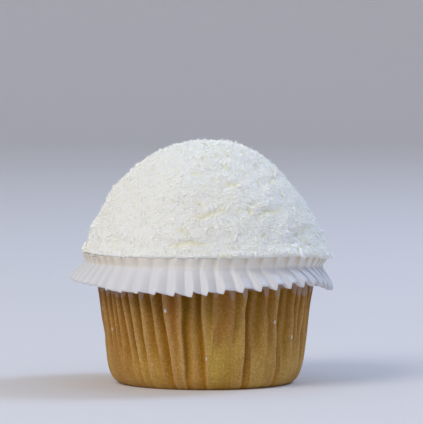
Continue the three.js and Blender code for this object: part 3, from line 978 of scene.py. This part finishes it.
def shaped_dome(icing, spacing=0.55 * MM, columns=330):
    """The dome as a bmesh, shaped from a ball, with its lumps, creases and pits, and how hollow it is."""
    places, outward = dome_section(icing, spacing)
    bm, row, angle = closed_ball(len(places) - 1, columns)
    height, left_radius, right_radius = places[row].T
    right = 0.5 + 0.5 * np.cos(angle)
    radius = mix(left_radius, right_radius, right)
    near_lip = smooth_step(*LIP_FOLLOWS, height - LIP_MEAN)
    near_lip *= smooth_step(-LIP_ENDS, LIP_ENDS, radius - icing.plug_radius)
    lip_height = round_table(LIP_EDGES, angle)
    height = height + near_lip * (lip_height - LIP_MEAN)
    smooth = np.stack([radius * np.cos(angle), radius * np.sin(angle), height], axis=-1)
    shown = smooth_step(*LUMPS_START, height - lip_height)
    rough = mix(*ROUGHNESS, smooth_step(*ROUGH_PLACES, right))
    creases = crease_relief(icing, angle, height, radius)
    pits = rough * pit_pattern(smooth)
    relief = shown * (rough * lump_relief(icing, smooth) + creases - icing.pit_depth * pits)
    out = outward[row]
    way = np.stack([out[:, 0] * np.cos(angle), out[:, 0] * np.sin(angle), out[:, 1]], axis=-1)
    move_vertices(bm, smooth + way * relief[:, None])
    hollow = np.clip(np.maximum(-creases / icing.crease_depth, PIT_CREAM_AND_SHADE * pits), 0, 1)
    return bm, hollow


# Coconut

# Limits of the length, width, thickness and rise out of the icing of each kind of coconut.
COCONUT_KINDS = {
    "grains": ((0.4 * MM, 0.9 * MM), (0.3 * MM, 0.55 * MM), (0.2 * MM, 0.36 * MM), (-0.12 * MM, 0.0)),
    "threads": ((0.6 * MM, 1.5 * MM), (0.14 * MM, 0.26 * MM), (0.1 * MM, 0.17 * MM), (-0.02 * MM, 0.06 * MM)),
    "shreds": ((0.8 * MM, 1.9 * MM), (0.22 * MM, 0.42 * MM), (0.1 * MM, 0.18 * MM), (-0.06 * MM, 0.05 * MM)),
    "chips": ((1.2 * MM, 2.6 * MM), (0.7 * MM, 1.3 * MM), (0.12 * MM, 0.18 * MM), (-0.05 * MM, 0.05 * MM)),
}
# Turn to the right from the front in degrees and height of the largest chips, and their size.
LARGE_CHIPS = ((49, 38.3 * MM), (46, 39.6 * MM), (150, 44 * MM), (230, 48 * MM))
LARGE_LENGTH, LARGE_WIDTH, LARGE_RISE = 3.2 * MM, 1.9 * MM, 0.15 * MM
# Which side of the dome a place is on, from left -1 to right 1, how loose the coat is there compared with its
# mean, and how far it is sunk into the icing.
COAT_SIDES = (
    (-1.0, 2.4, 0.0), (-0.96, 2.0, 0.01 * MM), (-0.86, 0.6, 0.05 * MM), (-0.3, 0.6, 0.05 * MM),
    (0.2, 1.0, 0.02 * MM), (0.6, 1.2, 0.0), (1.0, 2.0, 0.0),
)
# How far a loose piece is lifted, and how far loose pieces and lying ones are tilted.
LOOSE_RISE, LOOSE_TILT, LYING_TILT = 0.12 * MM, 0.7, 0.07
# Limits of the taper of a piece, how far strips bend, how uneven grains are, and how far tones differ.
TAPERS, BEND, GRAIN_SHAPES, TONE_SPREAD = (0.1, 0.7), 0.04, (0.7, 1.3), 0.15
# How far above the lip the coat starts, and how far a face may look down and still be coated.
COAT_START, COAT_LOWEST = 0.35 * MM, -0.5
SMALLEST_AREA = 1e-12

# Corners of the faces of a strip, a thread and a grain.
STRIP_FACES = (
    (0, 1, 2, 3), (0, 4, 5, 1), (1, 5, 6, 2), (2, 6, 7, 3), (3, 7, 4, 0),
    (4, 8, 9, 5), (5, 9, 10, 6), (6, 10, 11, 7), (7, 11, 8, 4), (11, 10, 9, 8),
)
THREAD_FACES = ((0, 2, 1), (3, 4, 5), (0, 1, 4), (0, 4, 3), (1, 2, 5), (1, 5, 4), (2, 0, 3), (2, 3, 5))
GRAIN_FACES = ((0, 2, 4), (2, 1, 4), (1, 3, 4), (3, 0, 4), (2, 0, 5), (1, 2, 5), (3, 1, 5), (0, 3, 5))


def lowest_first(corners):
    """A face's corners, turned so that the lowest number comes first."""
    start = corners.index(min(corners))
    return corners[start:] + corners[:start]


class Scatter:
    """Random places on the shown part of the dome, with the way out and the hollowness at each."""

    def __init__(self, dome):
        mesh = dome.data
        # The faces are put in order, because Blender may list them in a different order on each run.
        faces = sorted(lowest_first(list(face.vertices)) for face in mesh.polygons)
        triangles = np.array([(face[0], *pair) for face in faces for pair in zip(face[1:], face[2:])])
        self.corners = np.array([vertex.co for vertex in mesh.vertices])[triangles]
        hollow = np.zeros(len(mesh.vertices), np.float32)
        mesh.attributes["hollow"].data.foreach_get("value", hollow)
        self.hollow = hollow[triangles].mean(axis=1)
        cross = np.cross(self.corners[:, 1] - self.corners[:, 0], self.corners[:, 2] - self.corners[:, 0])
        length = np.linalg.norm(cross, axis=1)
        self.normals = cross / np.maximum(length, SMALLEST_AREA)[:, None]
        middle = self.corners.mean(axis=1)
        edge = round_table(LIP_EDGES, np.arctan2(middle[:, 1], middle[:, 0]))
        shown = (middle[:, 2] > edge + COAT_START) & (self.normals[:, 2] > COAT_LOWEST)
        self.weights = length * shown / (length * shown).sum()

    def nearest(self, turn, height):
        """The triangle nearest to a turn from the front and a height."""
        middle = self.corners.mean(axis=1)
        angle = FRONT + math.radians(turn)
        ahead = middle[:, 0] * math.cos(angle) + middle[:, 1] * math.sin(angle)
        side = middle[:, 1] * math.cos(angle) - middle[:, 0] * math.sin(angle)
        return np.argmin(np.where(ahead > 0, np.hypot(side, middle[:, 2] - height), np.inf))

    def pick(self, count, draw, named=()):
        """Places for a count of pieces, the first of them at the named turns and heights."""
        chosen = draw.choice(len(self.weights), count, p=self.weights)
        for spot, (turn, height) in enumerate(named):
            chosen[spot] = self.nearest(turn, height)
        first, second = np.sqrt(draw.random(count)), draw.random(count)
        share = np.stack([1 - first, first * (1 - second), first * second], axis=-1)
        places = (self.corners[chosen] * share[:, :, None]).sum(axis=1)
        return places, self.normals[chosen], self.hollow[chosen]


def lying_frames(out, tilt, draw):
    """A frame for each piece: along it, across it and out of it, turned at random and tilted a little."""
    count = len(out)
    leaning = out + tilt[:, None] * draw.normal(size=(count, 3))
    leaning /= np.linalg.norm(leaning, axis=1, keepdims=True)
    along = np.cross(leaning, draw.normal(size=(count, 3)))
    along /= np.linalg.norm(along, axis=1, keepdims=True)
    return along, np.cross(leaning, along), leaning


def strips(length, width, thickness, bend, taper):
    """Strips of three square sections, bent out at the ends and narrowing one way. One row for each strip."""
    section = np.array([(-1, -1), (-1, 1), (1, 1), (1, -1)]) / 2
    local = np.zeros((len(length), 12, 3))
    for ring, end in enumerate((-0.5, 0.0, 0.5)):
        narrow = 1 - taper * (end + 0.5)
        for corner, (side, top) in enumerate(section):
            spot = ring * 4 + corner
            local[:, spot, 0] = end * length
            local[:, spot, 1] = side * width * narrow
            local[:, spot, 2] = top * thickness + bend * length * 4 * end**2
    return local


def threads(length, width, thickness, taper):
    """Straight threads of three sides, narrowing one way. One row for each thread."""
    section = np.array([(-0.5, -0.4), (0.5, -0.4), (0.0, 0.6)])
    local = np.zeros((len(length), 6, 3))
    for end in (0, 1):
        narrow = 1 - taper * end
        for corner, (side, top) in enumerate(section):
            spot = end * 3 + corner
            local[:, spot, 0] = (end - 0.5) * length
            local[:, spot, 1] = side * width * narrow
            local[:, spot, 2] = top * thickness * narrow
    return local


def grains(length, width, thickness, draw):
    """Uneven eight-sided grains. One row for each grain."""
    corners = np.array([(1, 0, 0), (-1, 0, 0), (0, 1, 0), (0, -1, 0), (0, 0, 1), (0, 0, -1)]) / 2
    sizes = np.stack([length, width, thickness], axis=-1)
    return corners[None] * sizes[:, None] * draw.uniform(*GRAIN_SHAPES, (len(length), 6, 3))


def joined_pieces(name, local, faces, places, frames, tones):
    """Many small closed shapes as one object. Local holds each shape's own vertices."""
    along, across, out = frames
    points = places[:, None, :] + sum(
        local[:, :, axis, None] * way[:, None, :] for axis, way in enumerate((along, across, out))
    )
    count, corners = local.shape[:2]
    polygons = (np.array(faces)[None] + corners * np.arange(count)[:, None, None]).reshape(-1, len(faces[0]))
    mesh = bpy.data.meshes.new(name)
    mesh.vertices.add(count * corners)
    mesh.vertices.foreach_set("co", points.astype(np.float32).ravel())
    mesh.loops.add(polygons.size)
    mesh.loops.foreach_set("vertex_index", polygons.astype(np.int32).ravel())
    mesh.polygons.add(len(polygons))
    mesh.polygons.foreach_set("loop_start", np.arange(0, polygons.size, polygons.shape[1], dtype=np.int32))
    mesh.update(calc_edges=True)
    mesh.validate()
    piece = bpy.data.objects.new(name, mesh)
    bpy.context.scene.collection.objects.link(piece)
    store(piece, "tone_and_shade", np.repeat(tones, corners))
    return piece


def coconut_coat(coconut, kind, scatter, draw):
    """All the pieces of one kind of coconut, scattered over the dome."""
    count = getattr(coconut, kind)
    named = LARGE_CHIPS if kind == "chips" else ()
    places, out, hollow = scatter.pick(count, draw, named)
    length, width, thickness, rise = (draw.uniform(*limits, count) for limits in COCONUT_KINDS[kind])
    large = slice(len(named))
    length[large] = LARGE_LENGTH
    width[large] = LARGE_WIDTH
    rise[large] = LARGE_RISE
    side = places[:, 0] / np.hypot(places[:, 0], places[:, 1])
    sides, looser, sunk = np.array(COAT_SIDES).T
    loose = draw.random(count) < coconut.loose * np.interp(side, sides, looser)
    rise = np.where(loose, rise + LOOSE_RISE, rise - np.interp(side, sides, sunk))
    frames = lying_frames(out, np.where(loose, LOOSE_TILT, LYING_TILT), draw)
    taper = draw.uniform(*TAPERS, count)
    if kind == "grains":
        local, faces = grains(length, width, thickness, draw), GRAIN_FACES
    elif kind == "threads":
        local, faces = threads(length, width, thickness, taper), THREAD_FACES
    else:
        bend = draw.normal(0, BEND, count)
        local, faces = strips(length, width, thickness, bend, taper), STRIP_FACES
    # Pieces in the creases and pits turn creamier, as painted shade.
    tone_and_shade = np.clip(TONE_SPREAD * draw.random(count) + hollow, 0, 1)
    return joined_pieces("coconut_" + kind, local, faces, places + out * rise[:, None], frames, tone_and_shade)


# Stage

FLOOR_FLAT_RADIUS, FLOOR_BEND_RADIUS, FLOOR_WALL_HEIGHT = 2.4, 1.0, 1.6
FLOOR_BEND_STEPS, FLOOR_COLUMNS = 12, 96
# Name, place, width, power in watts and colour of each light, and the place that they all point at.
LIGHTS = (
    ("key_light", (-1.2, -1.25, 1.38), 1.2, 22.5, (1.0, 0.962, 0.885)),
    ("top_light", (0.1, 0.4, 1.9), 1.4, 1.5, (0.3, 0.6, 1.0)),
    ("cool_light", (1.22, 0.57, 1.38), 0.7, 13.4, (0.46, 0.66, 1.0)),
    ("side_light", (1.59, -0.14, 0.3), 0.8, 1.6, (0.5, 0.62, 1.0)),
)
LIGHT_AIM = Vector((0, 0, 40 * MM))
# Width of the camera's sensor in millimetres, and the nearest thing that it shows in metres.
SENSOR_WIDTH, NEAREST_SHOWN = 36.0, 0.05


def make_floor(stage):
    """A pale floor that curves up into low walls all round, far from the cupcake."""
    wall_radius = FLOOR_FLAT_RADIUS + FLOOR_BEND_RADIUS
    bend = [
        (FLOOR_FLAT_RADIUS + FLOOR_BEND_RADIUS * math.sin(turn), FLOOR_BEND_RADIUS * (1 - math.cos(turn)))
        for turn in np.linspace(0, math.pi / 2, FLOOR_BEND_STEPS)
    ]
    outline = [(0.0, 0.0), *bend, (wall_radius, FLOOR_WALL_HEIGHT)]
    floor = finished_object(spun_surface(outline, FLOOR_COLUMNS), "floor")
    material, _, shader = new_material("pale_floor", roughness=0.9, specular=0.5)
    shader.inputs["Base Color"].default_value = (*stage.floor_color, 1.0)
    floor.data.materials.append(material)


def make_lights(scene):
    """A large soft light at the front left, and cool ones above, behind and low at the right."""
    for name, place, width, power, color in LIGHTS:
        light = bpy.data.lights.new(name, "AREA")
        light.shape = "DISK"
        light.size = width
        light.energy = power
        light.color = color
        lamp = bpy.data.objects.new(name, light)
        lamp.location = place
        lamp.rotation_euler = (LIGHT_AIM - Vector(place)).to_track_quat("-Z", "Y").to_euler()
        scene.collection.objects.link(lamp)


def make_sky(scene, stage):
    """Pale light from all round."""
    world = bpy.data.worlds.new("pale_sky")
    world.use_nodes = True
    background = world.node_tree.nodes["Background"]
    background.inputs["Color"].default_value = (*stage.sky_color, 1.0)
    background.inputs["Strength"].default_value = stage.sky_strength
    scene.world = world


def make_camera(scene, stage):
    """A long lens at the photograph's angle. The sensor's width is the image's long side."""
    camera = bpy.data.objects.new("camera", bpy.data.cameras.new("camera"))
    scene.collection.objects.link(camera)
    camera.data.sensor_width = SENSOR_WIDTH
    camera.data.lens = stage.focal_pixels / max(IMAGE_SIZE) * SENSOR_WIDTH
    camera.data.clip_start = NEAREST_SHOWN
    camera.location = (stage.aim_side, -stage.camera_distance, stage.camera_height)
    aim = Vector((stage.aim_side, 0.0, stage.aim_height))
    camera.rotation_euler = (aim - camera.location).to_track_quat("-Z", "Y").to_euler()
    scene.camera = camera


# Operators


def settle(piece, material):
    """Finishes a piece: its material and its body."""
    piece.data.materials.append(material)
    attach(piece, BODY)


class CUPCAKE_OT_paper_case(bpy.types.Operator):
    """Folds the paper case from a flat round sheet"""

    bl_idname = "cupcake.paper_case"
    bl_label = "Paper Case"

    def execute(self, context):
        paper = context.scene.cupcake_paper
        along = np.concatenate([[-1.0]] + [
            number - 1 + np.arange(1, rows + 1) / rows for number, rows in enumerate(STATION_ROWS.values())
        ])
        rings, columns = len(along) - 1, paper.pleats * len(COLUMNS)
        bm = spun_surface([(ring / rings, 0.0) for ring in range(rings + 1)], columns)
        flat = vertex_places(bm)
        ring = np.rint(np.hypot(flat[:, 0], flat[:, 1]) * rings).astype(int)
        places, values = folded_paper(paper, column_places(flat, columns), along[ring])
        move_vertices(bm, places)
        piece = finished_object(bm, "pleated_paper")
        for name, value in values.items():
            store(piece, name, value)
        wall = piece.modifiers.new("Thickness", "SOLIDIFY")
        wall.thickness = paper.thickness
        wall.offset = 0.0
        settle(piece, stained_material(paper))
        piece.data.materials.append(clean_material(paper))
        # Faces before CLEAN_FROM keep the stained material; on the frill's underside its darker colours are
        # painted shade.
        clean = along[ring] > CLEAN_FROM
        for face in piece.data.polygons:
            face.material_index = int(all(clean[corner] for corner in face.vertices))
        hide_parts("paper_case")
        return {"FINISHED"}


class CUPCAKE_OT_sponge(bpy.types.Operator):
    """Fills the case with sponge up to its shoulder"""

    bl_idname = "cupcake.sponge"
    bl_label = "Sponge"

    def execute(self, context):
        paper = context.scene.cupcake_paper
        sponge = context.scene.cupcake_sponge
        top_rows, side_rows, below_shoulder = 3, 28, 0.1
        last_row = top_rows + side_rows + 1
        columns = paper.pleats * len(COLUMNS)
        levels = np.linspace(STATIONS.index("shoulder") - below_shoulder, 0, side_rows)
        bm, row, _ = closed_ball(last_row, columns)
        side = np.clip(row - top_rows, 0, side_rows - 1)
        places, _ = folded_paper(paper, column_places(vertex_places(bm), columns), levels[side])
        radius = np.hypot(places[:, 0], places[:, 1])
        inset = (radius - sponge.gap) / radius
        inset *= np.clip(row / top_rows, 0, 1) * np.clip(last_row - row, 0, 1)
        places[:, :2] *= inset[:, None]
        side_height = np.clip(places[:, 2], SPONGE_LOW.z, SPONGE_HIGH.z)
        places[:, 2] = np.where(row <= top_rows, SPONGE_HIGH.z, side_height)
        move_vertices(bm, places)
        piece = finished_object(bm, "sponge_body")
        settle(piece, sponge_material(sponge))
        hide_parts("cake")
        return {"FINISHED"}


class CUPCAKE_OT_icing(bpy.types.Operator):
    """Shapes the dome of icing"""

    bl_idname = "cupcake.icing"
    bl_label = "Icing"

    def execute(self, context):
        icing = context.scene.cupcake_icing
        bm, hollow = shaped_dome(icing)
        piece = finished_object(bm, "icing_dome")
        store(piece, "hollow", hollow)
        settle(piece, icing_material(icing))
        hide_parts("icing")
        return {"FINISHED"}


class CUPCAKE_OT_coconut(bpy.types.Operator):
    """Coats the dome with grains, threads, shreds and chips of coconut"""

    bl_idname = "cupcake.coconut"
    bl_label = "Coconut"

    def execute(self, context):
        coconut = context.scene.cupcake_coconut
        scatter = Scatter(bpy.data.objects["icing_dome"])
        material = coconut_material(coconut)
        draw = np.random.default_rng(coconut.seed)
        for kind in COCONUT_KINDS:
            settle(coconut_coat(coconut, kind, scatter, draw), material)
        return {"FINISHED"}


class CUPCAKE_OT_stage(bpy.types.Operator):
    """Sets up the floor, the lights and the camera"""

    bl_idname = "cupcake.stage"
    bl_label = "Stage"

    def execute(self, context):
        stage = context.scene.cupcake_stage
        make_floor(stage)
        make_lights(context.scene)
        make_sky(context.scene, stage)
        make_camera(context.scene, stage)
        context.scene.view_settings.view_transform = "Standard"
        return {"FINISHED"}


class CUPCAKE_PT_panel(bpy.types.Panel):
    """Lists the cupcake's pieces in the sidebar"""

    bl_idname = "CUPCAKE_PT_panel"
    bl_label = "Cupcake"
    bl_space_type = "VIEW_3D"
    bl_region_type = "UI"
    bl_category = "Cupcake"

    def draw(self, context):
        for operator in OPERATORS:
            self.layout.operator(operator.bl_idname)


SETTINGS = {
    "cupcake_paper": PaperSettings,
    "cupcake_sponge": SpongeSettings,
    "cupcake_icing": IcingSettings,
    "cupcake_coconut": CoconutSettings,
    "cupcake_stage": StageSettings,
}
OPERATORS = (
    CUPCAKE_OT_paper_case, CUPCAKE_OT_sponge, CUPCAKE_OT_icing, CUPCAKE_OT_coconut, CUPCAKE_OT_stage,
)


def register():
    for name, group in SETTINGS.items():
        bpy.utils.register_class(group)
        setattr(bpy.types.Scene, name, PointerProperty(type=group))
    for cls in (*OPERATORS, CUPCAKE_PT_panel):
        bpy.utils.register_class(cls)


def unregister():
    for cls in reversed((*OPERATORS, CUPCAKE_PT_panel)):
        bpy.utils.unregister_class(cls)
    for name, group in SETTINGS.items():
        delattr(bpy.types.Scene, name)
        bpy.utils.unregister_class(group)


def main():
    register()
    bpy.ops.cupcake.stage()
    bpy.ops.cupcake.paper_case()
    bpy.ops.cupcake.sponge()
    bpy.ops.cupcake.icing()
    bpy.ops.cupcake.coconut()


if __name__ == "__main__":
    main()
